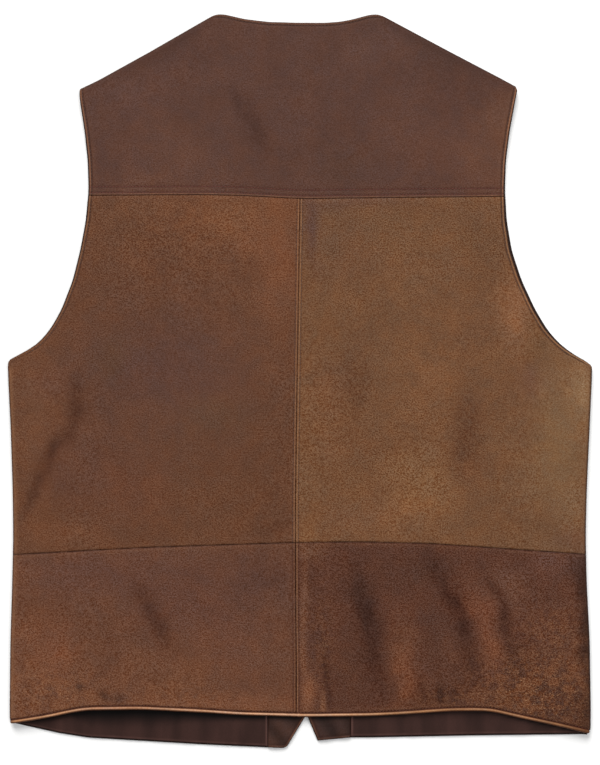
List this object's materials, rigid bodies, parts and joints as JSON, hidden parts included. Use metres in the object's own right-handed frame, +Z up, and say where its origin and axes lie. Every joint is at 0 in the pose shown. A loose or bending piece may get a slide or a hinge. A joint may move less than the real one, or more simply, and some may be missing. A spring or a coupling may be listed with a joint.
{
  "type": "leather vest laid flat",
  "caption": "Men's sleeveless leather vest laid flat with its back up: yoke, centre panels and lower bands over the lined fronts.",
  "frame": {"origin": "middle of the vest's outline, on the surface it lies on", "axes": "+Y from hem to neck, +X to the right as seen from above, +Z up from the surface"},
  "size_m": [0.5492, 0.6904, 0.0077],
  "materials": {
    "yoke_leather": "worn matt grain, dark purple brown",
    "left_panel_leather": "worn matt grain, mid brown",
    "right_panel_leather": "worn matt grain, tan brown",
    "left_band_leather": "worn matt grain, red brown",
    "right_band_leather": "distressed grain, dark brown",
    "hem_leather": "rubbed edge, light tan",
    "front_leather": "worn matt grain, dark brown",
    "lining_cloth": "smooth dark brown lining",
    "facing_leather": "smooth dark brown leather"
  },
  "bodies": {
    "root": {"back_yoke": "yoke_leather", "back_left": "left_panel_leather", "back_right": "right_panel_leather", "back_band_left": "left_band_leather", "back_band_right": "right_band_leather", "hem_binding": "hem_leather", "front_left": "front_leather", "front_right": "front_leather", "front_lining_left": "lining_cloth", "front_lining_right": "lining_cloth", "front_facing_left": "facing_leather", "front_facing_right": "facing_leather"}
  },
  "joints": []
}
